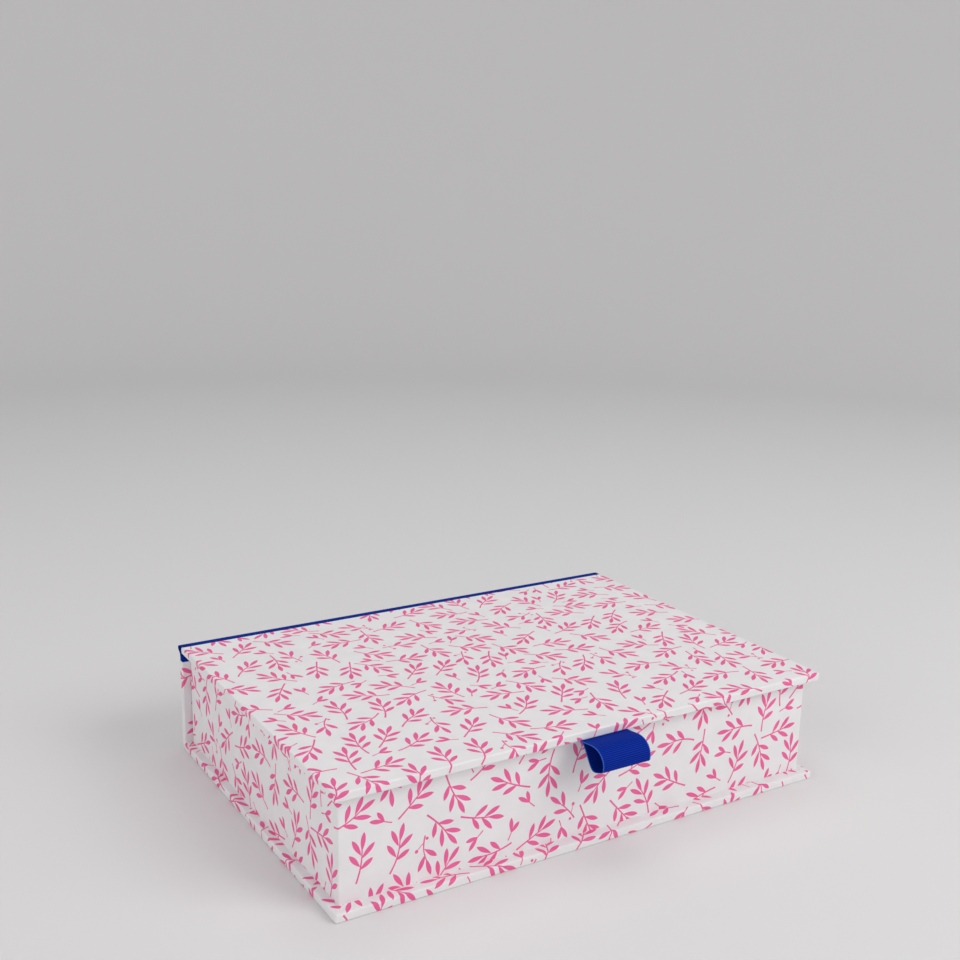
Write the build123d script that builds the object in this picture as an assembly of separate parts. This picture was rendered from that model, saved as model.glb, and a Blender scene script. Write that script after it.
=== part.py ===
"""Box file for A4 sheets: a board tray glued into a hinged case of base, spine and lid.

X runs along the front, the front faces -Y, the spine is at +Y and Z points up. The origin is the
middle of the face that the box stands on. Lengths are in millimetres and angles in degrees.
"""
import math
import os

from build123d import *

# Sheet stock, each with its paste
paper = 0.25
lining = 0.2
cloth = 0.4
case_board = 4.5
tray_board = 2.5
ribbon_thickness = 0.35

# Case: base, spine and lid
case_width = 330.0
case_depth = 234.0
lid_setback = 4.0
edge_round = 0.9
side_round = 0.6
back_round = 5.0
joint_gap = 0.5
turn_in = 20.0
spine_turn_in = 12.0

# Tray
side_margin = 5.2
front_margin = 7.4
tray_height = 60.0
tray_turn_in = 15.0
tray_round = 0.8
spine_seat = 0.05

# Lid seat and linings
lid_gap = 1.0
lid_lining_inset = 5.0
wall_lining_drop = 3.0

# Hinge
cloth_glue = 20.0
cloth_shows = 4.3
cloth_turn = 4.6
liner_inset = 1.8
crease_radius = 1.5
crease_angle = 55.0

# Ribbon pull
ribbon_width = 32.0
tail_length = 35.0
tail_cover = 1.2
strand_gap = 0.05
loop_clear = 0.1
body_clear = 0.4
loop_reach = 21.0
loop_front_radius = 8.0
loop_bottom_radius = 4.5
loop_slot_radius = 8.0
loop_rise = 50.0

# Levels
base_top = case_board + 2 * paper
rim = base_top + tray_height
lid_lining_face = rim + lid_gap
lid_under = lid_lining_face + lining
lid_top = lid_under + case_board + 2 * paper
wall_foot = base_top + paper
wall_top = rim - paper
floor_top = wall_foot + tray_board
spine_top = rim - cloth
paper_top = rim - cloth_shows

# Places across the box
case_half = case_width / 2
board_half = case_half - paper
tray_half = case_half - side_margin
wall_half = tray_half - paper
wall_inner_half = wall_half - tray_board
skin_half = wall_inner_half - paper
room_half = skin_half - lining

# Places from front to back
case_front = -case_depth / 2
case_back = case_depth / 2
spine_outer = case_back - paper
spine_inner = spine_outer - case_board
spine_skin = spine_inner - paper
lid_end = case_back - lid_setback
tray_front = case_front + front_margin
tray_back = spine_skin - cloth - spine_seat
wall_front = tray_front + paper
wall_back = tray_back - paper
wall_inner_front = wall_front + tray_board
wall_inner_back = wall_back - tray_board
skin_front = wall_inner_front + paper
skin_back = wall_inner_back - paper
room_front = skin_front + lining
room_back = skin_back - lining
lining_front = case_front + lid_lining_inset
liner_front = lid_end - cloth_glue
liner_half = tray_half - liner_inset
under_board = lid_under + paper
loop_start = loop_clear + body_clear


def block(x, y, z):
    """A box between the two values given along each axis."""
    size = Box(x[1] - x[0], y[1] - y[0], z[1] - z[0], align=(Align.MIN, Align.MIN, Align.MIN))
    return Pos(x[0], y[0], z[0]) * size


def centred(half, y, z):
    """A box that is symmetrical left to right."""
    return block((-half, half), y, z)


def ring(half, y, inner_half, inner_y, z):
    """An upright rectangular tube, open at the top and the bottom."""
    return centred(half, y, z) - centred(inner_half, inner_y, z)


def across(face, half):
    """A YZ face stretched symmetrically along X."""
    return extrude(face, half, both=True)


def case_profile(inset, top):
    """Side outline of base and spine, drawn in from the paper's outer face."""
    front = case_front + inset
    back = case_back - inset
    inner = spine_skin + inset
    outline = Polyline(
        (front, inset),
        (back, inset),
        (back, top),
        (inner, top),
        (inner, base_top - inset),
        (front, base_top - inset),
        close=True,
    )
    face = make_face(outline)
    front_corners = face.vertices().sort_by(Axis.X)[0:2]
    face = fillet(front_corners, edge_round - inset)
    back_corner = [v for v in face.vertices() if v.X > back - inset - joint_gap and v.Y < base_top / 2]
    face = fillet(back_corner, back_round - inset)
    return Plane.YZ * face


def case_body(inset, top):
    """Base and spine as one solid, rounded round both ends."""
    half = case_half - inset
    solid = across(case_profile(inset, top), half)
    ends = [e for f in solid.faces() if abs(abs(f.center().X) - half) < paper / 10 for e in f.edges()]
    kept = [e for e in ends if abs(e.center().Z - top) > paper / 10]
    return fillet(kept, side_round - inset)


def lid_body(inset, end):
    """Lid slab, rounded along its front and its sides but square at the hinge."""
    slab = centred(case_half - inset, (case_front + inset, end), (lid_under + inset, lid_top - inset))
    rounded = [e for e in slab.edges() if e.center().Y < end - paper]
    return fillet(rounded, edge_round - inset)


def hinge_path(outward):
    """Line of the hinge cloth from spine top to lid, moved outward from its glued face."""
    start = (spine_outer - cloth + outward, spine_top)
    level = lid_top - paper - cloth + outward
    out = JernArc(start, (0, 1), crease_radius - outward, -crease_angle)
    heading = 90 - crease_angle
    swing = (level - (out @ 1).Y) / (1 + math.cos(math.radians(heading)))
    over = JernArc(out @ 1, out % 1, swing, 180 - heading)
    return [out, over, Line(over @ 1, (liner_front, level))]


def hinge_band(low, high):
    """Strip from spine top to lid, between two distances from the glued face."""
    inner = hinge_path(low)
    outer = hinge_path(high)
    foot = Line(inner[0] @ 0, outer[0] @ 0)
    tip = Line(inner[-1] @ 1, outer[-1] @ 1)
    return Plane.YZ * make_face([*inner, tip, *outer, foot])


def loop_path(inward):
    """Side line of the pull from its upper to its lower end, moved inward from the outer face.

    The first number is the distance in front of the lid, the second the height over the slot.
    """
    reach = loop_reach - inward
    front = loop_front_radius - inward
    bottom = loop_bottom_radius - inward
    slot = loop_slot_radius + inward
    lower = inward - strand_gap - 2 * ribbon_thickness
    rise = math.radians(loop_rise)
    run = (reach - bottom - loop_start - (bottom + slot) * math.sin(rise)) / math.cos(rise)
    climb = bottom * math.cos(rise) - run * math.sin(rise) - slot * (1 - math.cos(rise))
    drop = -front - inward - lower - climb
    top = Line((loop_start, -inward), (reach - front, -inward))
    nose = JernArc(top @ 1, (1, 0), front, -90)
    fall = Line(nose @ 1, (reach, (nose @ 1).Y - drop))
    turn = JernArc(fall @ 1, (0, -1), bottom, -90 - loop_rise)
    back = Line(turn @ 1, (turn @ 1) + (turn % 1) * run)
    lead = JernArc(back @ 1, back % 1, slot, loop_rise)
    return [top, nose, fall, turn, back, lead]


def pull_loop():
    """The free loop, from the lid's front edge out, down and back under itself."""
    outer = loop_path(0)
    inner = loop_path(ribbon_thickness)
    upper_end = Line(outer[0] @ 0, inner[0] @ 0)
    lower_end = Line(outer[-1] @ 1, inner[-1] @ 1)
    face = make_face([*outer, lower_end, *inner, upper_end])
    side = Plane(origin=(0, case_front, lid_under), x_dir=(0, -1, 0), z_dir=(-1, 0, 0))
    return across(side * face, ribbon_width / 2)


# Papers, which are hollow where the boards go
case_paper = case_body(0, paper_top) - case_body(paper, rim)
case_paper -= centred(case_half - turn_in, (case_front + turn_in, spine_skin), (base_top - paper, rim))
case_paper -= centred(case_half - spine_turn_in, (spine_skin, spine_inner), (base_top - paper, rim))
lid_paper = lid_body(0, lid_end) - lid_body(paper, lid_end + cloth_glue)
lid_paper -= centred(case_half - turn_in, (case_front + turn_in, lid_end), (lid_under, lid_under + paper))
lid_paper -= centred(liner_half, (liner_front, lid_end), (lid_under, lid_under + paper))

# Hinge cloth: free fold, strip on the lid and sleeve on the spine, flush in peeled board
band = across(hinge_band(0, cloth), board_half)
sleeve_z = (rim - cloth_glue, spine_top)
sleeve = centred(board_half, (spine_inner, spine_outer), sleeve_z)
sleeve -= centred(board_half - cloth, (spine_inner + cloth, spine_outer - cloth), sleeve_z)
sleeve -= centred(case_half - cloth_turn, (spine_inner, spine_inner + cloth), sleeve_z)
hinge_cloth = band & centred(board_half, (lid_end, case_back + cloth_glue), (spine_top, lid_top))
hinge_cloth += band & lid_body(paper, lid_end)
hinge_cloth += sleeve & case_body(paper, spine_top)

# Inner strip: lid underside, lid end, back of the fold, spine top, then down behind the tray
strip_top = under_board
strip_low = under_board - cloth
fold = across(hinge_band(-cloth, 0), liner_half)
fold_floor = lid_top - paper - 2 * cloth
hinge_liner = fold & centred(liner_half, (lid_end, case_back + cloth_glue), (spine_top, lid_top))
hinge_liner += centred(liner_half, (lid_end, lid_end + cloth), (strip_low, fold_floor))
hinge_liner += centred(liner_half, (liner_front, lid_end), (strip_low, strip_top))
hinge_liner += centred(liner_half, (spine_skin - cloth, spine_outer - cloth), (spine_top, rim))
hinge_liner += centred(liner_half, (spine_skin - cloth, spine_skin), (rim - cloth_glue, spine_top))

# Case boards
base_inner_end = spine_inner - joint_gap
base_board = case_body(paper, rim) & centred(case_half, (case_front, base_inner_end), (0, base_top))
spine_foot = base_top + joint_gap
spine_board = case_body(paper, spine_top) & centred(case_half, (spine_inner, case_back), (spine_foot, rim))
spine_board -= hinge_cloth

# Tray walls and floor
wall_z = (wall_foot, wall_top)
tray_front_board = centred(wall_half, (wall_front, wall_inner_front), wall_z)
tray_back_board = centred(wall_half, (wall_inner_back, wall_back), wall_z)
tray_right_board = block((wall_inner_half, wall_half), (wall_inner_front, wall_inner_back), wall_z)
tray_left_board = mirror(tray_right_board, Plane.YZ)
tray_floor_board = centred(wall_inner_half, (wall_inner_front, wall_inner_back), (wall_foot, floor_top))

# Printed strip round the walls, over the rim and under the floor
outside = centred(tray_half, (tray_front, tray_back), (base_top, rim))
outside = fillet(outside.edges().filter_by(Axis.Z), tray_round)
outside = fillet(outside.faces().sort_by(Axis.Z)[-1].edges(), side_round)
tray_wrap_paper = outside - centred(skin_half, (skin_front, skin_back), (wall_foot, rim))
tray_wrap_paper -= centred(wall_half, (wall_front, wall_back), wall_z)
tray_wrap_paper += ring(
    wall_inner_half,
    (wall_inner_front, wall_inner_back),
    skin_half,
    (skin_front, skin_back),
    (rim - tray_turn_in, wall_top),
)
tray_wrap_paper -= centred(
    wall_inner_half - tray_turn_in,
    (wall_inner_front + tray_turn_in, wall_inner_back - tray_turn_in),
    (base_top, wall_foot),
)

# Linings
tray_floor_lining = centred(skin_half, (skin_front, skin_back), (floor_top, floor_top + lining))
tray_wall_lining = ring(
    skin_half,
    (skin_front, skin_back),
    room_half,
    (room_front, room_back),
    (floor_top + lining, rim - wall_lining_drop),
)

# Lid board
lid_board = lid_body(paper, lid_end) - hinge_cloth

# Ribbon ends between the lid and its lining, with the lining pressed up round them
tails_low = lid_under - 2 * ribbon_thickness - strand_gap
tail_end = case_front + tail_length
tail_y = (case_front - loop_clear, tail_end)
tail_space = centred(ribbon_width / 2, tail_y, (tails_low, lid_under))
ribbon_tails = centred(ribbon_width / 2, tail_y, (lid_under - ribbon_thickness, lid_under))
ribbon_tails += centred(ribbon_width / 2, tail_y, (tails_low, tails_low + ribbon_thickness))
lid_lining = centred(
    case_half - lid_lining_inset, (lining_front, liner_front), (lid_lining_face, lid_under)
)
lid_lining += centred(
    ribbon_width / 2 + tail_cover, (lining_front, tail_end + tail_cover), (tails_low - lining, lid_under)
)
lid_lining -= tail_space
ribbon_loop = pull_loop()

parts = {
    "base_board": base_board,
    "spine_board": spine_board,
    "case_paper": case_paper,
    "tray_floor_board": tray_floor_board,
    "tray_front_board": tray_front_board,
    "tray_back_board": tray_back_board,
    "tray_left_board": tray_left_board,
    "tray_right_board": tray_right_board,
    "tray_wrap_paper": tray_wrap_paper,
    "tray_wall_lining": tray_wall_lining,
    "tray_floor_lining": tray_floor_lining,
    "hinge_cloth": hinge_cloth,
    "hinge_liner": hinge_liner,
    "lid_board": lid_board,
    "lid_paper": lid_paper,
    "lid_lining": lid_lining,
    "ribbon_tails": ribbon_tails,
    "ribbon_loop": ribbon_loop,
}

os.makedirs("parts", exist_ok=True)
for name, part in parts.items():
    export_step(part, f"parts/{name}.step")
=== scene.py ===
"""Looks of the box file: printed papers, linings, hinge cloth and ribbon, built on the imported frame.

The frame and its joints are in metres. Paper, cloth and ribbon are cut and folded in millimetres.
"""

import math

import bpy
import numpy as np
from mathutils import Matrix, Vector
from mathutils.geometry import delaunay_2d_cdt


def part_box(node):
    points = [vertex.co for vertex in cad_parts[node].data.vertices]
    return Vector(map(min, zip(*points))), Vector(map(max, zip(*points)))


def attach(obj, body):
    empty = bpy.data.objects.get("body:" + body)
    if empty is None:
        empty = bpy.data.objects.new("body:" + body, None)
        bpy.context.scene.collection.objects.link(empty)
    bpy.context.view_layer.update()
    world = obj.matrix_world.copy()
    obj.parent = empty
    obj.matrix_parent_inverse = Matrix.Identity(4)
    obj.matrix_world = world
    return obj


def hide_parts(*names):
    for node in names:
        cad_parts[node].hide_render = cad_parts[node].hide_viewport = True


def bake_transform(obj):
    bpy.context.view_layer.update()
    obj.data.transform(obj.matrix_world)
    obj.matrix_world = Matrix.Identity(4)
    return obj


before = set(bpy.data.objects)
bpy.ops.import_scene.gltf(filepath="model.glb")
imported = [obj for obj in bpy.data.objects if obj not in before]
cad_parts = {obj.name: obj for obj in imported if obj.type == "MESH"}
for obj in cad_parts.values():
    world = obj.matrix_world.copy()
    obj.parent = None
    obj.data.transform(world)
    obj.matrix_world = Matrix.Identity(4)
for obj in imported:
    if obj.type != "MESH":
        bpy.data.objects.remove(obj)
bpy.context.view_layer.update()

MM = 0.001


def box_mm(node):
    """Lowest and highest corner of a node in millimetres."""
    low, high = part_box(node)
    return low / MM, high / MM


# Places that the frame gives, in millimetres
case_low, case_high = box_mm("case_paper")
lid_low, lid_high = box_mm("lid_paper")
tray_low, tray_high = box_mm("tray_wrap_paper")
board_low, board_high = box_mm("base_board")
spine_low, spine_high = box_mm("spine_board")
skin_low, skin_high = box_mm("tray_wall_lining")
lining_low, lining_high = box_mm("lid_lining")
liner_low, liner_high = box_mm("hinge_liner")
cloth_low, cloth_high = box_mm("hinge_cloth")
tails_low, tails_high = box_mm("ribbon_tails")

# Thickness of paper and cloth, the radius of the papers' folds over the boards and over the tray's
# walls, and the steps of each fold
PAPER = 0.25
CLOTH = 0.4
BOARD_ROUND = 0.9
TRAY_ROUND = 0.7
ARC_STEPS = 5

# How far the papers are turned in over the boards
CASE_TURN_IN = 20.0
SPINE_TURN_IN = 12.0
TRAY_TURN_IN = 15.0

# Radius and steps of the half round at the lid's rear end, along which its paper ends
NOSE = 2.4
NOSE_STEPS = 8

# The lid's board where the cloth is glued on: its underside, its peeled top and its rear end's radius
board_under = lid_low.z + PAPER
board_top = lid_high.z - PAPER - CLOTH
board_nose = (board_top - board_under) / 2

# Grosgrain ribbon: its thickness, its cross ribs, its scalloped woven edges and half its width
RIBBON_THICK = 0.35
RIB_PITCH = 1.1
RIB_DEPTH = 0.12
ROWS_PER_RIB = 6
SELVEDGE = 0.6
SELVEDGE_SCALLOP = 0.28
ribbon_half = (tails_high.x - tails_low.x) / 2


# Meshes

def new_piece(name, points, faces, finish, sharp=None):
    """A smooth-shaded piece from points in millimetres; edges over the sharp angle stay crisp."""
    mesh = bpy.data.meshes.new(name)
    mesh.from_pydata([Vector(place) * MM for place in points], [], faces)
    mesh.polygons.foreach_set("use_smooth", [True] * len(mesh.polygons))
    if sharp is not None:
        mesh.set_sharp_from_angle(angle=math.radians(sharp))
    mesh.materials.append(finish)
    made = bpy.data.objects.new(name, mesh)
    bpy.context.scene.collection.objects.link(made)
    return made


def between_rings(rings, count):
    """Faces from each ring of points to the next."""
    faces = []
    for row in range(rings - 1):
        for k in range(count):
            a = row * count + k
            b = row * count + (k + 1) % count
            faces.append((a, b, b + count, a + count))
    return faces


def slab(name, rows, finish, sharp=None):
    """A closed sheet from rows of points, where each row gives those of one face, then of the other."""
    count = len(rows[0][0])
    ring = 2 * count
    last = ring * (len(rows) - 1)
    points = [place for near, far in rows for place in (*near, *reversed(far))]
    end = [(k, k + 1, ring - 2 - k, ring - 1 - k) for k in range(count - 1)]
    faces = between_rings(len(rows), ring)
    faces += [face[::-1] for face in end]
    faces += [tuple(last + k for k in face) for face in end]
    return new_piece(name, points, faces, finish, sharp)


# Folding flat sheets

def wrap(s, radius, thick):
    """A sheet that goes round a board's edge: how far out, how deep, and its normal's turn, after s."""
    quarter = radius * math.pi / 2
    flat = thick - 2 * radius
    if s <= 0:
        return s, 0.0, 0.0
    if s <= quarter:
        turn = s / radius
        return radius * math.sin(turn), radius * (1 - math.cos(turn)), turn
    if s <= quarter + flat:
        return radius, radius + s - quarter, math.pi / 2
    if s <= 2 * quarter + flat:
        turn = (s - quarter - flat) / radius
        depth = thick - radius + radius * math.sin(turn)
        return radius * math.cos(turn), depth, math.pi / 2 + turn
    return 2 * quarter + flat - s, thick, math.pi


def wrap_lines(radius, thick):
    """The distances at which such a sheet is creased."""
    quarter = radius * math.pi / 2
    second = quarter + thick - 2 * radius
    steps = [quarter * k / ARC_STEPS for k in range(ARC_STEPS + 1)]
    return steps + [second + step for step in steps]


def creases_across(levels, left, right):
    """Crease lines at each of the levels, from left to right."""
    return [((left, level), (right, level)) for level in levels]


def creases_along(places, low, high):
    """Crease lines at each of the places across, from low to high."""
    return [((place, low), (place, high)) for place in places]


def rectangle(left, right, low, high):
    """Outline of a flat rectangle."""
    return [(left, low), (right, low), (right, high), (left, high)]


def side_fold(side, thick, along):
    """Folding round a board's two side edges, where along gives a point's place in side view."""

    def fold(u, v):
        hand = math.copysign(1, u)
        out, depth, turn = wrap(abs(u) - side, BOARD_ROUND, thick)
        place, outward = along(v, depth)
        place.x = hand * (side + out)
        return place, outward * math.cos(turn) + Vector((hand * math.sin(turn), 0, 0))

    return fold


def front_fold(side, front, thick, level, up):
    """Folding round a board's front edge and its two corners.

    The printed face lies at the level and looks up (1) or down (-1).
    """

    def fold(u, v):
        out, depth, turn = wrap(front - v, BOARD_ROUND, thick)
        hand = math.copysign(1, u)
        swing = max(abs(u) - side, 0) / BOARD_ROUND
        across = min(abs(u), side) + out * math.sin(swing)
        place = Vector((hand * across, front - out * math.cos(swing), level - up * depth))
        outward = Vector((hand * math.sin(swing), -math.cos(swing), 0)) * math.sin(turn)
        return place, outward + Vector((0, 0, up * math.cos(turn)))

    return fold


def turn_in_front(sheet, side, front, lines, fold):
    """Adds the front turn-in, mitred at both ends, and the paper that goes round the two corners."""
    quarter = BOARD_ROUND * math.pi / 2
    under = front - lines[-1]
    deep = CASE_TURN_IN - BOARD_ROUND
    levels = [front - line for line in lines]
    for hand in (-1, 1):
        steps = [hand * (side + quarter * k / ARC_STEPS) for k in range(ARC_STEPS + 1)]
        creases = creases_across(levels, steps[0], steps[-1]) + creases_along(steps[1:-1], under, front)
        sheet.panel(rectangle(steps[0], steps[-1], under, front), creases, fold)
    outline = [
        (-side, front),
        (side, front),
        (side, under),
        (side - deep, under - deep),
        (deep - side, under - deep),
        (-side, under),
    ]
    sheet.panel(outline, creases_across(levels, -side, side), fold)


# Print: leaf sprigs scattered over a wide sheet

# The draw's seed, the square repeat and the grid that marks its taken places, the gap between sprigs,
# and how often each kind is tried
PRINT_SEED = 31
PRINT_REPEAT = 320.0
PRINT_CELL = 0.5
SPRIG_GAP = 1.5
SPRIG_TRIES = 5000
TWIG_TRIES = 6000
BUD_TRIES = 5000

# The most that a stem bends, and a leaf's width, its stalk's half width and the powers that shape it:
# the first moves its widest place out, the second blunts its tip
STEM_BEND = 2.2
LEAF_WIDTH = 2.7
STALK_HALF = 0.14
LEAF_REACH = 1.25
LEAF_BLUNT = 0.75
LEAF_STEPS = 7
STEM_STEPS = 7
BERRY_SIDES = 9


def leaf(root, angle, length, width=LEAF_WIDTH):
    """Outline of a slim leaf, narrow at the stalk and rounded at the tip."""
    ahead = np.array([math.cos(angle), math.sin(angle)])
    aside = np.array([-ahead[1], ahead[0]])
    shares = [k / LEAF_STEPS for k in range(LEAF_STEPS + 1)]
    swells = [math.sin(math.pi * t ** LEAF_REACH) ** LEAF_BLUNT for t in shares]
    half = [width / 2 * swell + STALK_HALF * (1 - t) for t, swell in zip(shares, swells)]
    line = [np.array(root) + ahead * length * t for t in shares]
    left = [p + aside * h for p, h in zip(line, half)]
    right = [p - aside * h for p, h in zip(line, half)]
    return left + right[-2::-1]


def stem(points, widths):
    """Outline of a tapered stem through three points of a curve."""
    a, b, c = (np.array(p) for p in points)
    left, right = [], []
    for k in range(STEM_STEPS + 1):
        t = k / STEM_STEPS
        p = a * (1 - t) ** 2 + 2 * b * t * (1 - t) + c * t * t
        ahead = (b - a) * (1 - t) + (c - b) * t
        aside = np.array([-ahead[1], ahead[0]]) / np.linalg.norm(ahead)
        half = (widths[0] * (1 - t) + widths[1] * t) / 2
        left.append(p + aside * half)
        right.append(p - aside * half)
    return left + right[::-1]


def berry(at, radius):
    """Outline of a round berry."""
    turns = [2 * math.pi * k / BERRY_SIDES for k in range(BERRY_SIDES)]
    return [np.array(at) + radius * np.array([math.cos(t), math.sin(t)]) for t in turns]


def sprig_shapes(bend):
    """A stem with five leaves: where each leaf starts, its angle and its length."""
    return [
        stem([(-12.5, -bend), (-3, bend), (6, 0)], (1.1, 0.7)),
        leaf((5.4, 0), 0.0, 10.6),
        leaf((3.0, 0.2), 0.62, 10.8),
        leaf((1.0, -0.2), -0.66, 11.0),
        leaf((-3.2, 0.2), 0.8, 9.8),
        leaf((-5.0, -0.1), -0.84, 9.2),
    ]


def twig_shapes(bend):
    """A stem with three leaves and two berries."""
    return [
        stem([(-9.5, bend), (-2, -bend), (5, 0)], (1.0, 0.6)),
        leaf((4.4, 0), 0.1, 10.2),
        leaf((1.4, 0), -0.62, 10.4),
        leaf((-1.8, 0), 0.74, 9.6),
        stem([(-5.5, 0), (-4.4, -2.0), (-2.8, -4.2)], (0.6, 0.5)),
        berry((-2.5, -4.7), 1.1),
        berry((-7.4, 2.6), 0.95),
    ]


def bud_shapes(bend):
    """A short stalk with a pair of leaves, for the gaps."""
    return [
        stem([(-4.6, -bend * 0.4), (-1.5, 0), (0.4, 0)], (0.8, 0.6)),
        leaf((0, 0), 0.32, 9.0, 2.5),
        leaf((0, 0), -0.44, 7.6, 2.4),
    ]


def scattered_print():
    """Outlines of the sprigs on one square repeat, none touching another or its next copy."""
    chance = np.random.RandomState(PRINT_SEED)
    cells = round(PRINT_REPEAT / PRINT_CELL)
    taken = np.zeros((cells, cells), bool)
    reach = math.ceil(SPRIG_GAP / PRINT_CELL)
    steps = [(i, j) for i in range(-reach, reach + 1) for j in range(-reach, reach + 1)]
    halo = np.array([step for step in steps if math.hypot(*step) * PRINT_CELL <= SPRIG_GAP])
    placed = []
    for kind, tries in ((sprig_shapes, SPRIG_TRIES), (twig_shapes, TWIG_TRIES), (bud_shapes, BUD_TRIES)):
        for _ in range(tries):
            shapes = [np.array(outline) for outline in kind(chance.uniform(-STEM_BEND, STEM_BEND))]
            angle = chance.uniform(0, 2 * math.pi)
            cosine, sine = math.cos(angle), math.sin(angle)
            spin = np.array([[cosine, sine], [-sine, cosine]])
            centre = chance.uniform(0, PRINT_REPEAT, 2)
            shapes = [outline @ spin + centre for outline in shapes]
            border = np.concatenate([[p, (p + np.roll(p, 1, axis=0)) / 2] for p in shapes], axis=1)
            spots = np.floor(border.reshape(-1, 2) / PRINT_CELL).astype(int)
            if taken[tuple(spots.T % cells)].any():
                continue
            marked = (spots[:, None] + halo[None]).reshape(-1, 2)
            taken[tuple(marked.T % cells)] = True
            placed.append(shapes)
    return placed


PRINT = scattered_print()

# Where the papers of lid, case and tray are cut from the print
LID_CUT_AT = (20.0, 150.0)
CASE_CUT_AT = (420.0, 150.0)
TRAY_CUT_AT = (10.0, 20.0)

# Points nearer than this are one when a panel is cut, and a rim with less area is left out
CUT_WELD = 1e-5
LEAST_RIM = 1e-6


def cut_panel(outline, creases, print_at):
    """Triangles of a flat panel: their points and, for each, whether it is inked.

    Its outline is the first, so a triangle in it is paper, and one in a printed shape too is inked.
    """
    points, edges, faces = [], [], []

    def polygon(corners):
        """Adds a closed outline, always anticlockwise."""
        x, y = np.array(corners, float).T
        area = (x * np.roll(y, -1) - y * np.roll(x, -1)).sum()
        start = len(points)
        points.extend(Vector(corner) for corner in zip(x.tolist(), y.tolist()))
        order = range(start, len(points))
        faces.append(list(order if area > 0 else reversed(order)))

    polygon(outline)
    low = np.min(outline, axis=0)
    high = np.max(outline, axis=0)
    for a, b in creases:
        points.extend([Vector(a), Vector(b)])
        edges.append((len(points) - 2, len(points) - 1))
    first = np.floor((low + print_at) / PRINT_REPEAT).astype(int) - 1
    last = np.floor((high + print_at) / PRINT_REPEAT).astype(int) + 1
    for column in range(first[0], last[0] + 1):
        for row in range(first[1], last[1] + 1):
            shift = np.array([column, row]) * PRINT_REPEAT - print_at
            for shape in (shape + shift for sprig in PRINT for shape in sprig):
                if (shape.max(0) > low).all() and (shape.min(0) < high).all():
                    polygon(shape)
    # Kind 0 gives all the triangles, and True the outlines that each of them lies in
    cut = delaunay_2d_cdt(points, edges, faces, 0, CUT_WELD, True)
    flat, triangles, sources = cut[0], cut[2], cut[5]
    found = []
    for triangle, source in zip(triangles, sources):
        if 0 in source:
            found.append(([flat[k] for k in triangle], len(source) > 1))
    return found


def rounded(*numbers):
    """Numbers to a thousandth, so that points which meet are found as one."""
    return tuple(round(v, 3) for v in numbers)


class Sheet:
    """Folds flat panels into one sheet and gathers its paper and its ink."""

    def __init__(self, print_at):
        self.print_at = print_at
        self.faces = []

    def panel(self, outline, creases, fold):
        """Adds a panel: its flat outline, its crease lines and the function that folds a flat point."""
        for corners, inked in cut_panel(outline, creases, self.print_at):
            folded = [fold(*corner) for corner in corners]
            (a, up), (b, _), (c, _) = folded
            outward = (b - a).cross(c - a).dot(up) > 0
            self.faces.append((folded if outward else folded[::-1], inked))

    def edges(self):
        """Faces of the paper's thickness along every free border."""
        seen = {}
        for corners, _ in self.faces:
            keys = [rounded(*place) for place, _ in corners]
            for k in range(3):
                a, b = keys[k], keys[(k + 1) % 3]
                if a != b:
                    seen.setdefault(frozenset((a, b)), []).append((corners[k], corners[(k + 1) % 3]))
        rims = []
        for uses in seen.values():
            if len(uses) == 1:
                (a, normal_a), (b, normal_b) = uses[0]
                rims.append([b, a, a - normal_a * PAPER, b - normal_b * PAPER])
        return rims

    def build(self, name, body, replaced):
        """Makes the paper and, as a piece of its own, the print on it."""
        for part, finish, inked in ((name, printed_paper, False), (name + "_print", print_ink, True)):
            table, places, normals, faces = {}, [], [], []

            def index(place, normal):
                """Number of a point with its normal, which is added where it is new."""
                key = rounded(*place, *normal)
                if key not in table:
                    table[key] = len(places)
                    places.append(place)
                    normals.append(normal)
                return table[key]

            for corners, dyed in self.faces:
                if dyed == inked:
                    face = [index(*corner) for corner in corners]
                    if len(set(face)) == 3:
                        faces.append(face)
            if not inked:
                for rim in self.edges():
                    out = (rim[1] - rim[0]).cross(rim[2] - rim[0])
                    if out.length > LEAST_RIM:
                        faces.append([index(corner, out.normalized()) for corner in rim])
            made = new_piece(part, places, faces, finish)
            made.data.normals_split_custom_set_from_vertices(normals)
            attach(made, body)
            if not inked:
                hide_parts(replaced)


# Materials

def linear(text):
    """An sRGB hex colour as linear numbers with alpha."""
    parts = [int(text[k:k + 2], 16) / 255 for k in (1, 3, 5)]
    return [v / 12.92 if v <= 0.04045 else ((v + 0.055) / 1.055) ** 2.4 for v in parts] + [1.0]


def add(tree, kind, links=None, values=None, **settings):
    """Adds a node with its settings, its unlinked values and what feeds its inputs."""
    made = tree.nodes.new(kind)
    for name, value in settings.items():
        setattr(made, name, value)
    for name, value in (values or {}).items():
        made.inputs[name].default_value = value
    for name, socket in (links or {}).items():
        tree.links.new(socket, made.inputs[name])
    return made


def new_material(name, constants):
    """A material whose shader has its constant values."""
    made = bpy.data.materials.new(name)
    made.use_nodes = True
    for socket, value in constants.items():
        made.node_tree.nodes["Principled BSDF"].inputs[socket].default_value = value
    return made


def feed_shader(tree, colour, relief):
    """Links a material's colour and relief to its shader."""
    shader = tree.nodes["Principled BSDF"]
    tree.links.new(colour, shader.inputs["Base Color"])
    tree.links.new(relief, shader.inputs["Normal"])


# Patches of slightly different shade on paper and board, in millimetres across, and the noise at which
# the one shade ends and the other begins
PATCH = 14.0
SHADE_EDGES = (0.35, 0.65)


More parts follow.
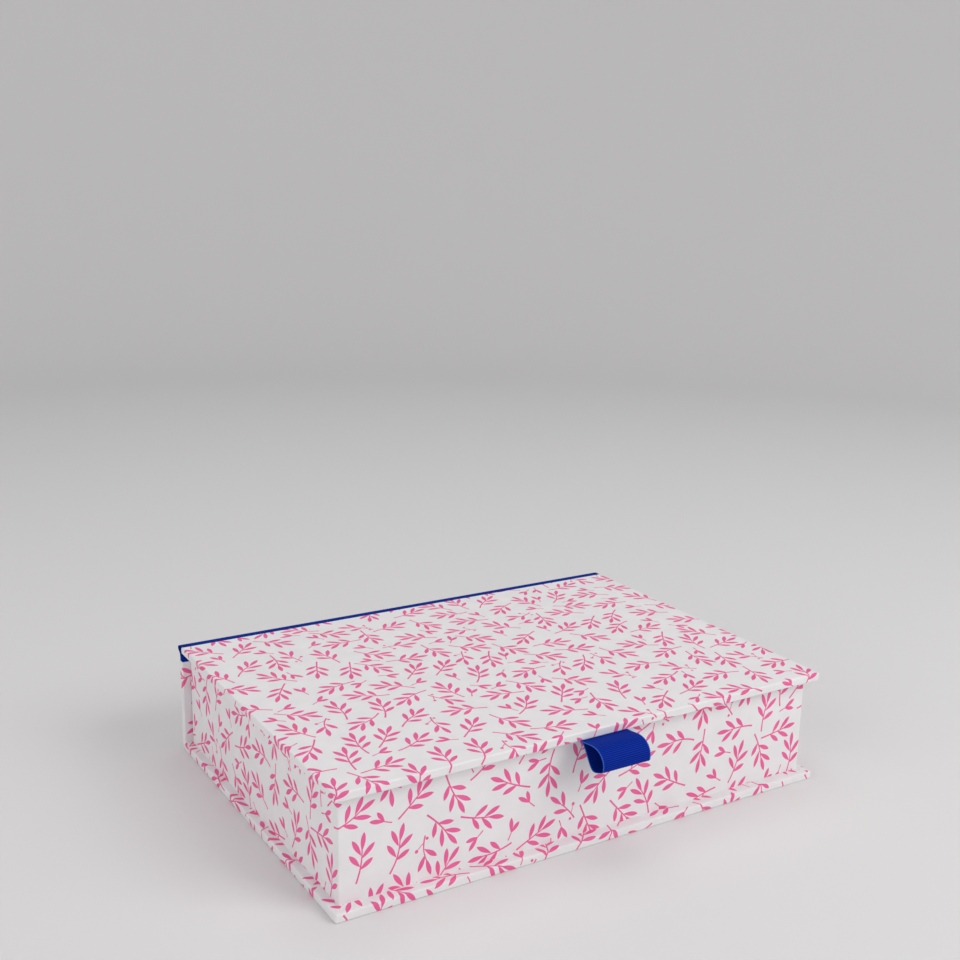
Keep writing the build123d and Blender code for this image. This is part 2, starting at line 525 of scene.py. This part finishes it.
def paper_material(name, colours, roughness, fibre_mm, depth_mm):
    """Paper or board felted from fibres: matt, with faint patches of shade and a fine grain."""
    made = new_material(name, {"Roughness": roughness, "IOR": 1.45})
    tree = made.node_tree
    place = add(tree, "ShaderNodeTexCoord").outputs["Object"]
    mottle = {"Scale": 1 / (PATCH * MM), "Detail": 3.0}
    patches = add(tree, "ShaderNodeTexNoise", {"Vector": place}, mottle)
    shade = add(tree, "ShaderNodeValToRGB", {"Fac": patches.outputs["Fac"]})
    for stop, position, colour in zip(shade.color_ramp.elements, SHADE_EDGES, colours):
        stop.position = position
        stop.color = linear(colour)
    grain = {"Scale": 1 / (fibre_mm * MM), "Detail": 4.0}
    fibre = add(tree, "ShaderNodeTexNoise", {"Vector": place}, grain)
    relief = {"Strength": 0.5, "Distance": depth_mm * MM}
    bump = add(tree, "ShaderNodeBump", {"Height": fibre.outputs["Fac"]}, relief)
    feed_shader(tree, shade.outputs["Color"], bump.outputs["Normal"])
    return made


# Uncoated printing paper, calendered smooth: bright and matt, with hardly any grain
printed_paper = paper_material("uncoated_paper", ("#E9E8EA", "#EDECED"), 0.8, 0.7, 0.03)
# Offset ink, which sinks into that paper: as matt and flat, a little smoother
print_ink = paper_material("offset_ink_on_paper", ("#EA5F9A", "#EE67A0"), 0.7, 0.7, 0.03)
# Laid lining paper, uncoated and unbleached: warmer and softer than the printed one
lining_paper = paper_material("laid_lining_paper", ("#E9E6DE", "#EDEAE3"), 0.85, 0.9, 0.04)
# Millboard, rolled from waste paper: dull grey-brown with a coarse grain
greyboard = paper_material("millboard", ("#8B8478", "#9A9285"), 0.9, 1.1, 0.12)

# Dyed thread: hardly any gloss, and a faint paler sheen at grazing angles
DYED_THREAD = {
    "IOR": 1.4,
    "Specular IOR Level": 0.08,
    "Sheen Weight": 0.03,
    "Sheen Roughness": 0.5,
    "Sheen Tint": linear("#4C6FD6"),
}


def wave_scale(pitch):
    """Scale of a wave texture that has one band in each pitch: it runs 20 radians in a unit length."""
    return 2 * math.pi / 20 / pitch


def weave_material(name, colours, pitch_mm, depth_mm, roughness):
    """Plain-woven cotton cloth: crossing threads with a painted highlight on each thread and painted
    shade in the gaps between them.

    The threads follow the cloth's own cut, whose place across and along is kept in millimetres.
    """
    made = new_material(name, {"Roughness": roughness, **DYED_THREAD})
    tree = made.node_tree
    cut = add(tree, "ShaderNodeAttribute", attribute_name="cut_mm").outputs["Vector"]
    uneven = {"Scale": wave_scale(pitch_mm), "Distortion": 0.4, "Detail": 1.0}
    threads = [
        add(tree, "ShaderNodeTexWave", {"Vector": cut}, uneven, bands_direction=direction).outputs["Fac"]
        for direction in ("X", "Y")
    ]
    crossed = add(tree, "ShaderNodeMath", {0: threads[0], 1: threads[1]}, operation="MAXIMUM")
    # The cloth's blue as a shaded and a lit copy: painted shade in the gaps, painted highlight on the
    # threads
    painted_light_and_shade = {"A": linear(colours[0]), "B": linear(colours[1])}
    shade = add(tree, "ShaderNodeMix", {0: crossed.outputs[0]}, painted_light_and_shade, data_type="RGBA")
    relief = {"Strength": 0.7, "Distance": depth_mm * MM}
    bump = add(tree, "ShaderNodeBump", {"Height": crossed.outputs[0]}, relief)
    feed_shader(tree, shade.outputs["Result"], bump.outputs["Normal"])
    return made


# Threads 1 mm apart: coarser than the usual half millimetre, so that the weave shows in the render
# Its first colour is the painted shade in the gaps, its second the painted highlight on the threads
book_cloth = weave_material("woven_book_cloth", ("#01195F", "#033398"), 1.0, 0.12, 0.8)

# The ribbon's warp threads, 0.6 mm apart: coarser than the usual 0.2 mm, so that they show in the render
WARP_PITCH = 0.6


def grosgrain_material():
    """Grosgrain, woven with thick weft ribs: a painted highlight on the crests, painted shade in the
    furrows and a painted highlight along the woven edges.

    The third number of the kept cut is 1 at a woven edge.
    """
    made = new_material("woven_grosgrain", {"Roughness": 0.62, **DYED_THREAD})
    tree = made.node_tree
    cut = add(tree, "ShaderNodeAttribute", attribute_name="cut_mm").outputs["Vector"]
    ribs = {"Scale": wave_scale(RIB_PITCH)}
    furrow_painted_shade = add(tree, "ShaderNodeTexWave", {"Vector": cut}, ribs, bands_direction="Y").outputs["Fac"]
    # A lit and a shaded copy of the ribbon's blue: painted highlight on the rib crests, painted shade in
    # the furrows
    painted_light_and_shade = {"A": linear("#0535AA"), "B": linear("#01146A")}
    shade = add(tree, "ShaderNodeMix", {0: furrow_painted_shade}, painted_light_and_shade, data_type="RGBA").outputs["Result"]
    edge = add(tree, "ShaderNodeSeparateXYZ", {0: cut}).outputs["Z"]
    # Painted highlight: a paler blue along both woven edges, standing in for their lit rims
    painted_edge_highlight = {"B": linear("#3E6FD0")}
    with_edge_highlight = add(tree, "ShaderNodeMix", {0: edge, "A": shade}, painted_edge_highlight, data_type="RGBA")
    warp = {"Scale": wave_scale(WARP_PITCH), "Distortion": 0.5}
    threads = add(tree, "ShaderNodeTexWave", {"Vector": cut}, warp, bands_direction="X")
    relief = {"Strength": 0.4, "Distance": 0.03 * MM}
    bump = add(tree, "ShaderNodeBump", {"Height": threads.outputs["Fac"]}, relief)
    feed_shader(tree, with_edge_highlight.outputs["Result"], bump.outputs["Normal"])
    return made


grosgrain = grosgrain_material()


# Lid

def lid_sheet():
    """Printed sheet over the lid: top, front and sides, turned in under the board."""
    sheet = Sheet(LID_CUT_AT)
    thick = lid_high.z - lid_low.z
    side = lid_high.x - BOARD_ROUND
    front = lid_low.y + BOARD_ROUND
    bare = lid_high.y - NOSE
    lines = wrap_lines(BOARD_ROUND, thick)
    flap = side + lines[-1]
    deep = CASE_TURN_IN - BOARD_ROUND
    upright = lines[ARC_STEPS + 1] - lines[ARC_STEPS]
    rounds = sorted(lines + [lines[ARC_STEPS] + upright * k / NOSE_STEPS for k in range(1, NOSE_STEPS)])

    def ending(line):
        """Where the sheet stops at the hinge, so that the lid's rear end is a half round."""
        depth = wrap(line, BOARD_ROUND, thick)[1]
        off = max(NOSE - depth, depth - (thick - NOSE), 0)
        return bare + math.sqrt(NOSE ** 2 - off ** 2)

    def along(v, depth):
        """Place and outward direction in side view."""
        return Vector((0, v, lid_high.z - depth)), Vector((0, 0, 1))

    fold = side_fold(side, thick, along)
    sheet.panel(rectangle(-side, side, front, bare), [], fold)
    for hand in (-1, 1):
        outline = [
            (hand * side, front),
            (hand * flap, front),
            (hand * (flap + deep), front + deep),
            (hand * (flap + deep), bare),
        ]
        outline += [(hand * (side + line), ending(line)) for line in reversed(rounds)]
        creases = creases_along([hand * (side + line) for line in lines], front, lid_high.y)
        sheet.panel(outline, creases, fold)
    turn_in_front(sheet, side, front, lines, front_fold(side, front, thick, lid_high.z, 1))
    sheet.build("lid_cover", "lid", "lid_paper")


def arc(y, z, radius, start, sweep, steps):
    """Points of an arc in side view, its angles in degrees."""
    turns = [math.radians(start + sweep * k / steps) for k in range(steps + 1)]
    return [(y + radius * math.cos(turn), z + radius * math.sin(turn)) for turn in turns]


# Steps of the lid board's half-round rear end, of its front corners and of its rounded side edges
BOARD_NOSE_STEPS = 12
BOARD_CORNER_STEPS = 3
BOARD_END_STEPS = 4


def lid_core():
    """The lid's board: round-edged, half round at its rear end and peeled where the cloth is glued on."""
    edge = BOARD_ROUND - PAPER
    # The outermost sections keep a trace of their corners, so that their points stay apart
    least_corner = edge / 20

    def section(x, inset):
        """Side outline at one place across, drawn in by the inset."""
        low = board_under + inset
        high = lid_high.z - PAPER - inset
        peeled = high - CLOTH
        nose = (peeled - low) / 2
        corner = max(edge - inset, least_corner)
        front = lid_low.y + PAPER + inset + corner
        outline = arc(lid_high.y - inset - nose, low + nose, nose, -90, 180, BOARD_NOSE_STEPS)
        outline += [(liner_low.y, peeled), (liner_low.y, high)]
        outline += arc(front, high - corner, corner, 90, 90, BOARD_CORNER_STEPS)
        outline += arc(front, low + corner, corner, 180, 90, BOARD_CORNER_STEPS)
        return [(x, y, z) for y, z in outline]

    turns = [math.pi / 2 * k / BOARD_END_STEPS for k in range(BOARD_END_STEPS + 1)]
    ends = [(board_high.x - edge + edge * math.sin(a), edge * (1 - math.cos(a))) for a in turns]
    sections = [section(-x, inset) for x, inset in reversed(ends)]
    sections += [section(x, inset) for x, inset in ends]
    points = [place for outline in sections for place in outline]
    count = len(sections[0])
    last = count * (len(sections) - 1)
    faces = between_rings(len(sections), count)
    faces += [tuple(reversed(range(count))), tuple(range(last, last + count))]
    made = new_piece("lid_millboard", points, faces, greyboard, sharp=40)
    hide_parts("lid_board")
    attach(made, "lid")


# The lining under the lid: its height over the tray's rim, how far it eases up to the ribbon's tails,
# and its columns and rows over the whole sheet and over the tails
LINING_OVER_RIM = 1.0
LINING_EASE = 1.6
LINING_COARSE = 9
LINING_ACROSS_TAILS = 45
LINING_ALONG_TAILS = 41


def lid_lining():
    """Plain sheet under the lid, pressed up round the ribbon's two tails."""
    thick = lining_high.z - (tray_high.z + LINING_OVER_RIM)
    hump = lid_low.z - tails_low.z
    wide = ribbon_half + LINING_EASE
    deep = tails_high.y + LINING_EASE
    xs = sorted({
        *np.linspace(lining_low.x, lining_high.x, LINING_COARSE),
        *np.linspace(-wide, wide, LINING_ACROSS_TAILS),
    })
    ys = sorted({
        *np.linspace(lining_low.y, lining_high.y, LINING_COARSE),
        *np.linspace(lining_low.y, deep, LINING_ALONG_TAILS),
    })

    def ease(t):
        """From 0 to 1 with a soft start and end."""
        t = min(max(t, 0), 1)
        return t * t * (3 - 2 * t)

    def height(x, y):
        """Height of the sheet's upper face, which the tails press down."""
        return lid_low.z - hump * ease((wide - abs(x)) / LINING_EASE) * ease((deep - y) / LINING_EASE)

    rows = [[[(x, y, height(x, y) - shift) for x in xs] for shift in (0.0, thick)] for y in ys]
    made = slab("lid_lining_sheet", rows, lining_paper, sharp=60)
    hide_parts("lid_lining")
    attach(made, "lid")


# Case

def case_sheet():
    """Printed sheet over base and spine, in one piece, turned in over all its edges but the hinge."""
    sheet = Sheet(CASE_CUT_AT)
    thick = board_high.z + PAPER
    side = case_high.x - BOARD_ROUND
    front = case_low.y + BOARD_ROUND
    bend_start = case_high.y - thick
    bend = thick * math.pi / 2
    spine_start = bend_start + bend
    top = spine_start + case_high.z - thick
    lines = wrap_lines(BOARD_ROUND, thick)
    flap = side + lines[-1]
    deep = CASE_TURN_IN - BOARD_ROUND
    spine_deep = SPINE_TURN_IN - BOARD_ROUND
    bend_lines = [bend_start + bend * k / (2 * ARC_STEPS) for k in range(2 * ARC_STEPS + 1)]

    def along(v, depth):
        """Place and outward direction in side view, along the base, round the bend and up the spine."""
        if v <= bend_start:
            return Vector((0, v, depth)), Vector((0, 0, -1))
        if v <= spine_start:
            turn = (v - bend_start) / thick
            out = Vector((0, math.sin(turn), -math.cos(turn)))
            return Vector((0, bend_start, thick)) + out * (thick - depth), out
        return Vector((0, case_high.y - depth, thick + v - spine_start)), Vector((0, 1, 0))

    fold = side_fold(side, thick, along)
    sheet.panel(rectangle(-side, side, front, top), creases_across(bend_lines, -side, side), fold)
    for hand in (-1, 1):
        levels = [hand * (side + line) for line in lines]
        base = [
            (hand * side, front),
            (hand * flap, front),
            (hand * (flap + deep), front + deep),
            (hand * (flap + deep), bend_start),
            (hand * side, bend_start),
        ]
        sheet.panel(base, creases_along(levels, front, bend_start), fold)
        bent = rectangle(hand * side, hand * flap, bend_start, spine_start)
        creases = creases_along(levels, bend_start, spine_start)
        creases += creases_across(bend_lines, hand * side, hand * flap)
        sheet.panel(bent, creases, fold)
        spine = rectangle(hand * side, hand * (flap + spine_deep), spine_start, top)
        sheet.panel(spine, creases_along(levels, spine_start, top), fold)
    turn_in_front(sheet, side, front, lines, front_fold(side, front, thick, 0, -1))
    sheet.build("case_cover", "tray", "case_paper")


# Tray

def tray_sheet():
    """Printed strip round the tray's walls, over the rim and down inside, mitred at the corners."""
    sheet = Sheet(TRAY_CUT_AT)
    wall = skin_low.x - tray_low.x
    radius = TRAY_ROUND
    quarter = radius * math.pi / 2
    straight = tray_high.z - tray_low.z - radius
    left, right = tray_low.x + radius, tray_high.x - radius
    front, back = tray_low.y + radius, tray_high.y - radius
    lines = wrap_lines(radius, wall)
    levels = [straight + line for line in lines]
    rim = levels[ARC_STEPS]
    over_rim = [*lines[ARC_STEPS:], lines[-1] + TRAY_TURN_IN - radius]
    start = 0.0
    for corner, heading, length in (
        ((left, back), (0, -1), back - front),
        ((left, front), (1, 0), right - left),
        ((right, front), (0, 1), back - front),
        ((right, back), (-1, 0), right - left),
    ):
        foot = Vector((*corner, 0))
        ahead = Vector((*heading, 0))
        outward = Vector((heading[1], -heading[0], 0))

        def fold(u, v):
            """Place and outward direction of a point of the flat strip."""
            rise, inward, turn = wrap(v - straight, radius, wall)
            far = u - start
            swing = max(far - length, 0) / radius
            level = outward * math.cos(swing) + ahead * math.sin(swing)
            place = foot + ahead * min(far, length) + level * (radius - inward)
            place.z = tray_low.z + straight + rise
            return place, level * math.cos(turn) + Vector((0, 0, math.sin(turn)))

        def shrink(line):
            """How much shorter the strip is at each end, inside the walls."""
            return max(wrap(line, radius, wall)[1] - radius, 0)

        end = start + length
        outline = [(start, 0), (end, 0)]
        outline += [(end - shrink(line), straight + line) for line in over_rim]
        outline += [(start + shrink(line), straight + line) for line in reversed(over_rim)]
        sheet.panel(outline, creases_across(levels, start, end), fold)
        steps = [end + quarter * k / ARC_STEPS for k in range(ARC_STEPS + 1)]
        creases = creases_across(levels[:ARC_STEPS + 1], end, steps[-1])
        creases += creases_along(steps[1:-1], 0, rim)
        sheet.panel(rectangle(end, steps[-1], 0, rim), creases, fold)
        start = steps[-1]
    sheet.build("tray_wrap", "tray", "tray_wrap_paper")


# Strips of cloth and ribbon

# The rows of a strip: roughly the millimetres between them where it is straight, the most degrees
# between them in a bend, and the fewest steps of a bend
STRAIGHT_STEP = 4.0
TURN_STEP = 12
LEAST_TURNS = 3


def path_of(start, heading, moves):
    """Points of a line in side view: straight moves are (None, length), bends are (radius, degrees)."""
    y, z = start
    angle = math.radians(heading)
    places = [(y, z, angle)]
    for radius, amount in moves:
        if radius is None:
            steps = max(1, round(amount / STRAIGHT_STEP))
            for _ in range(steps):
                y += amount / steps * math.cos(angle)
                z += amount / steps * math.sin(angle)
                places.append((y, z, angle))
            continue
        steps = max(LEAST_TURNS, math.ceil(abs(amount) / TURN_STEP))
        turn = math.radians(amount) / steps
        chord = 2 * radius * math.sin(abs(turn) / 2)
        for _ in range(steps):
            y += chord * math.cos(angle + turn / 2)
            z += chord * math.sin(angle + turn / 2)
            angle += turn
            places.append((y, z, angle))
    return places


def line_length(line):
    """Length of a line in side view."""
    return sum(math.dist(a[:2], b[:2]) for a, b in zip(line, line[1:]))


def keep_cut(piece, cut):
    """Keeps each point's place across and along the flat cloth in millimetres, and if it is an edge."""
    kept = piece.data.attributes.new("cut_mm", "FLOAT_VECTOR", "POINT")
    kept.data.foreach_set("vector", [v for place in cut for v in place])


def strip(name, line, columns, shape, finish):
    """Closed strip of cloth along a side-view line.

    The shape function gives, for a distance along and a share across, the place across, how far the
    two faces lie to the left of the line, and whether it is a woven edge.
    """
    rows, cut = [], []
    travelled = 0.0
    for k, (y, z, angle) in enumerate(line):
        if k:
            travelled += math.dist(line[k - 1][:2], (y, z))
        left_y, left_z = -math.sin(angle), math.cos(angle)
        across = [shape(travelled, share) for share in columns]
        rows.append([
            [(x, y + left_y * out[side], z + left_z * out[side]) for x, *out, _ in across]
            for side in (0, 1)
        ])
        flat = [(x, travelled, edge) for x, *_, edge in across]
        cut += flat + flat[::-1]
    made = slab(name, rows, finish)
    keep_cut(made, cut)
    return made


# Ribbon pull

# Points on each curve of its line, and its columns between the woven edges
CURVE_POINTS = 80
WOVEN_COLUMNS = 15


def bezier(points):
    """Closely spaced points on a chain of cubic curves."""
    found = []
    for k in range(0, len(points) - 1, 3):
        a, b, c, d = (np.array(p, float) for p in points[k:k + 4])
        for t in np.linspace(0, 1, CURVE_POINTS)[(1 if k else 0):]:
            rest = 1 - t
            found.append(a * rest ** 3 + 3 * b * t * rest ** 2 + 3 * c * t * t * rest + d * t ** 3)
    return np.array(found)


def evenly(points, spacing):
    """The same line with evenly spaced points, as (y, z, heading)."""
    travelled = np.concatenate([[0], np.cumsum(np.linalg.norm(np.diff(points, axis=0), axis=1))])
    wanted = np.linspace(0, travelled[-1], round(travelled[-1] / spacing) + 1)
    line = np.column_stack([np.interp(wanted, travelled, points[:, k]) for k in (0, 1)])
    ahead = np.gradient(line, axis=0)
    return [(y, z, math.atan2(dz, dy)) for (y, z), (dy, dz) in zip(line, ahead)]


def ribbon():
    """Grosgrain pull: a glued tail, out of the lid's front edge, round the loop and back to the other."""
    tail = lid_low.y - tails_high.y
    upper = -RIBBON_THICK / 2
    lower = tails_low.z - lid_low.z + RIBBON_THICK / 2
    # Distance out from the lid's front edge and height over its underside
    chain = [
        (tail, upper), (tail / 2, upper), (-3, upper), (0, upper),
        (4.5, upper), (8.0, 1.25), (12.2, 0.75),
        (17.0, 0.2), (20.4, -3.4), (20.4, -7.4),
        (20.4, -9.8), (20.2, -10.5), (18.9, -11.1),
        (16.4, -12.2), (14.6, -13.0), (12.6, -13.2),
        (10.6, -13.4), (9.4, -12.3), (8.2, -10.8),
        (5.2, -7.0), (2.4, lower), (0, lower),
        (-3, lower), (tail / 2, lower), (tail, lower),
    ]
    row = RIB_PITCH / ROWS_PER_RIB
    line = evenly(bezier([(lid_low.y - out, lid_low.z + up) for out, up in chain]), row)

    def shape(far, share):
        """Ribs across the ribbon, and a scallop at each rib along its woven edges."""
        crest = abs(math.cos(math.pi * far / RIB_PITCH))
        swell = RIBBON_THICK / 2 - RIB_DEPTH * (1 - crest)
        edge = max((abs(share) - 1) * ribbon_half / SELVEDGE + 1, 0)
        x = ribbon_half * share + math.copysign(SELVEDGE_SCALLOP * (2 * crest - 1) * edge, share)
        return x, -swell, swell, edge

    inner = 1 - SELVEDGE / ribbon_half
    woven = np.linspace(-inner, inner, WOVEN_COLUMNS).tolist()
    shares = [-1, -(1 + inner) / 2, *woven, (1 + inner) / 2, 1]
    made = strip("ribbon_pull", line, shares, shape, grosgrain)
    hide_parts("ribbon_loop", "ribbon_tails")
    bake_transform(made)


# Hinge cloth and its inner strip

# The loose fold in side view: a crease at the spine's top, out, round, and back along a slope to the lid
CREASE_BELOW_TOP = 0.8
CREASE_RADIUS = 1.2
CREASE_ANGLE = 55
FOLD_OUT = 2.8
FOLD_LOW_RADIUS = 1.6
FOLD_HIGH_RADIUS = 1.2
FOLD_SLOPE = 20
FOLD_END_RADIUS = 2.0

# How far the cloth laps onto the lid's board, and the angle that the inner strip goes round its rear end
LAP_ON_LID = 0.4
NOSE_WRAP = 150

# The fold's cloth is a little thinner on both faces, clear of the sleeve and of the inner strip
FOLD_CLEAR_OUT = 0.03
FOLD_CLEAR_IN = 0.01

# How deep the inner strip goes behind the tray, its bend at the spine's top, and how far its ears, which
# are wider than the strip, stay inside the cloth's ends
LINER_DEPTH = 20.0
LINER_BEND = 0.6
EAR_CLEAR = 0.1

# The sleeve round the spine's top: its round edges, how they close in, and its reach down and up
SLEEVE_ROUND = 0.5
SLEEVE_STEPS = 4
SLEEVE_CLOSING = 0.9
SLEEVE_DOWN = 0.6
SLEEVE_UP = 0.15

# What the cloth is glued to: the spine board's outside, drawn in by the cloth, and its top
glued = spine_high.y - CLOTH
spine_top = tray_high.z - CLOTH

# Columns across the cloth, as shares of half its width
CLOTH_COLUMNS = np.linspace(-1, 1, 41).tolist()


def plain(half, near, far):
    """Shape of a strip of one width, whose two faces lie this far to the left of its line."""
    return lambda travelled, share: (half * share, near, far, 0)


def hinge_fold():
    """Book cloth from the spine's top, out in a loose fold and onto the lid, and the strip behind it."""
    start = (glued, spine_top - CREASE_BELOW_TOP)
    moves = [
        (None, CREASE_BELOW_TOP),
        (CREASE_RADIUS, -CREASE_ANGLE),
        (None, FOLD_OUT),
        (FOLD_LOW_RADIUS, CREASE_ANGLE),
        (FOLD_HIGH_RADIUS, 90 - FOLD_SLOPE),
    ]
    slope = math.radians(FOLD_SLOPE)
    crest = path_of(start, 90, moves)[-1][1]
    rise = board_top - crest - FOLD_END_RADIUS * (1 - math.cos(slope))
    moves += [(None, rise / math.sin(slope)), (FOLD_END_RADIUS, FOLD_SLOPE)]
    wrapped = (board_nose + CLOTH / 2) * math.sin(math.radians(NOSE_WRAP))
    meeting = lid_high.y - board_nose + wrapped
    moves.append((None, path_of(start, 90, moves)[-1][0] - meeting))
    moves.append((None, meeting - lid_high.y + NOSE + LAP_ON_LID))
    line = path_of(start, 90, moves)
    length = line_length(line) * MM

    faces = plain(cloth_high.x, -CLOTH + FOLD_CLEAR_OUT, -FOLD_CLEAR_IN)
    outside = strip("hinge_cloth_fold", line, CLOTH_COLUMNS, faces, book_cloth)
    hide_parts("hinge_cloth")
    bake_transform(outside)

    faces = plain(liner_high.x, 0.0, CLOTH)
    inside = strip("hinge_liner_fold", line[1:-1], CLOTH_COLUMNS, faces, book_cloth)
    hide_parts("hinge_liner")
    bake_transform(inside)


def hinge_liner():
    """The inner strip where it is glued: under the lid and round its rear end, and behind the tray."""
    flat = lid_high.y - NOSE - liner_low.y
    ease = NOSE - board_nose
    moves = [(None, flat), (None, ease), (board_nose + CLOTH / 2, NOSE_WRAP)]
    on_lid = path_of((liner_low.y, board_under - CLOTH / 2), 0, moves)
    back = spine_low.y - PAPER - CLOTH / 2
    moves = [
        (None, LINER_DEPTH - CLOTH / 2 - LINER_BEND),
        (LINER_BEND, -90),
        (None, glued - back - LINER_BEND),
    ]
    on_spine = path_of((back, tray_high.z - LINER_DEPTH), 90, moves)

    def eared(far, share):
        """As wide as the board where the strip goes round its end."""
        wide = cloth_high.x - EAR_CLEAR if far > flat + ease / 2 else liner_high.x
        return wide * share, -CLOTH / 2, CLOTH / 2, 0

    band = plain(liner_high.x, -CLOTH / 2, CLOTH / 2)
    for name, line, shape, board, body in (
        ("hinge_liner_lid", on_lid, eared, "lid_millboard", "lid"),
        ("hinge_liner_spine", on_spine, band, "spine_board", "tray"),
    ):
        made = strip(name, line, CLOTH_COLUMNS, shape, book_cloth)
        cut = (2 * liner_high.x * MM, line_length(line) * MM)
        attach(made, body)


def hinge_sleeve():
    """The cloth where it goes round the spine's outside and both ends."""
    half = cloth_high.x - SLEEVE_ROUND
    top = spine_top + SLEEVE_UP - SLEEVE_ROUND
    quarter = [90 * k / SLEEVE_STEPS for k in range(SLEEVE_STEPS + 1)]
    corners = (
        (half, spine_high.y - SLEEVE_ROUND, 0),
        (-half, spine_high.y - SLEEVE_ROUND, 90),
        (-half, spine_low.y + SLEEVE_ROUND, 180),
        (half, spine_low.y + SLEEVE_ROUND, 270),
    )
    levels = [(0, case_high.z - SLEEVE_DOWN)]
    for turn in (math.radians(angle) for angle in quarter):
        shrink = SLEEVE_ROUND * SLEEVE_CLOSING * (1 - math.cos(turn))
        levels.append((shrink, top + SLEEVE_ROUND * math.sin(turn)))
    points = []
    for shrink, z in levels:
        radius = SLEEVE_ROUND - shrink
        for x, y, start in corners:
            turns = [math.radians(start + angle) for angle in quarter]
            points += [(x + radius * math.cos(turn), y + radius * math.sin(turn), z) for turn in turns]
    ring = len(corners) * len(quarter)
    faces = between_rings(len(levels), ring)
    faces.append(tuple(range((len(levels) - 1) * ring, len(levels) * ring)))
    made = new_piece("hinge_cloth_sleeve", points, faces, book_cloth)
    keep_cut(made, [(x + y, z, 0) for x, y, z in points])
    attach(made, "tray")


def dress_nodes():
    """Gives the boards and the tray's linings, which stay as they are, their finish."""
    for name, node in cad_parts.items():
        if name.endswith("_board"):
            finish = greyboard
        elif name in ("tray_wall_lining", "tray_floor_lining"):
            finish = lining_paper
        else:
            continue
        node.data.materials.clear()
        node.data.materials.append(finish)


lid_sheet()
lid_core()
case_sheet()
tray_sheet()
ribbon()
hinge_fold()
hinge_liner()
hinge_sleeve()
lid_lining()
dress_nodes()


# Stage, light and camera

# The floor and the backdrop that it curves up into, in millimetres
FLOOR_CENTRE = 20
FLOOR_RADIUS = 1600
BACKDROP_BEND = 800
BACKDROP_TOP = 2400
FLOOR_SIDES = 96
BEND_STEPS = 12

# Softboxes: name, place, size in metres, power in watts and colour
LAMPS = (
    ("key", (1.0, -1.5, 1.3), 1.2, 21, "#FFFDFC"),
    ("fill", (-1.7, -0.4, 0.9), 1.4, 9.4, "#FFFAFB"),
    ("top", (0.1, 0.3, 1.9), 1.4, 8.5, "#FFFFFF"),
)
LAMPS_AIM_AT = (0, 0, 0.04)
ROOM_COLOUR = "#F8F6F8"
ROOM_STRENGTH = 0.3

# The photograph's camera: its place in metres, its direction, its roll in degrees and its lens
CAMERA_AT = (-0.4072, -0.6417, 0.3681)
CAMERA_FORWARD = (0.5090, 0.8288, -0.2322)
CAMERA_ROLL = 1.12
LENS_MM = 48.06
SENSOR_MM = 36.0


def stage():
    """Plain pale floor that curves up into a backdrop all round."""
    paint = new_material("painted_backdrop", {"Base Color": linear("#E3E3E3"), "Roughness": 0.9})
    profile = [(FLOOR_CENTRE, 0), (FLOOR_RADIUS, 0)]
    for turn in (math.pi / 2 * k / BEND_STEPS for k in range(1, BEND_STEPS + 1)):
        out = FLOOR_RADIUS + BACKDROP_BEND * math.sin(turn)
        profile.append((out, BACKDROP_BEND * (1 - math.cos(turn))))
    profile.append((FLOOR_RADIUS + BACKDROP_BEND, BACKDROP_TOP))
    turns = [2 * math.pi * k / FLOOR_SIDES for k in range(FLOOR_SIDES)]
    points = [(out * math.cos(turn), out * math.sin(turn), z) for out, z in profile for turn in turns]
    faces = [face[::-1] for face in between_rings(len(profile), FLOOR_SIDES)]
    faces.append(tuple(range(FLOOR_SIDES)))
    new_piece("floor", points, faces, paint)


def lights():
    """Square softboxes that face the box, and even light from all round."""
    for name, place, size, power, colour in LAMPS:
        data = bpy.data.lights.new(name, "AREA")
        data.size = size
        data.energy = power
        data.color = linear(colour)[:3]
        made = bpy.data.objects.new(name, data)
        made.location = place
        made.rotation_euler = (Vector(LAMPS_AIM_AT) - Vector(place)).to_track_quat("-Z", "Y").to_euler()
        bpy.context.scene.collection.objects.link(made)
    world = bpy.data.worlds.new("studio")
    world.use_nodes = True
    background = world.node_tree.nodes["Background"]
    background.inputs["Color"].default_value = linear(ROOM_COLOUR)
    background.inputs["Strength"].default_value = ROOM_STRENGTH
    bpy.context.scene.world = world


def camera():
    """Camera at the photograph's place, with its slight roll."""
    forward = Vector(CAMERA_FORWARD).normalized()
    right = forward.cross(Vector((0, 0, 1))).normalized()
    up = right.cross(forward).normalized()
    roll = math.radians(CAMERA_ROLL)
    right_rolled = right * math.cos(roll) + up * math.sin(roll)
    up_rolled = up * math.cos(roll) - right * math.sin(roll)
    turn = Matrix((right_rolled, up_rolled, -forward)).transposed().to_4x4()
    data = bpy.data.cameras.new("camera")
    data.lens = LENS_MM
    data.sensor_width = SENSOR_MM
    data.clip_start = 0.05
    made = bpy.data.objects.new("camera", data)
    made.matrix_world = Matrix.Translation(CAMERA_AT) @ turn
    bpy.context.scene.collection.objects.link(made)
    bpy.context.scene.camera = made


stage()
lights()
camera()
bpy.context.scene.view_settings.view_transform = "Standard"
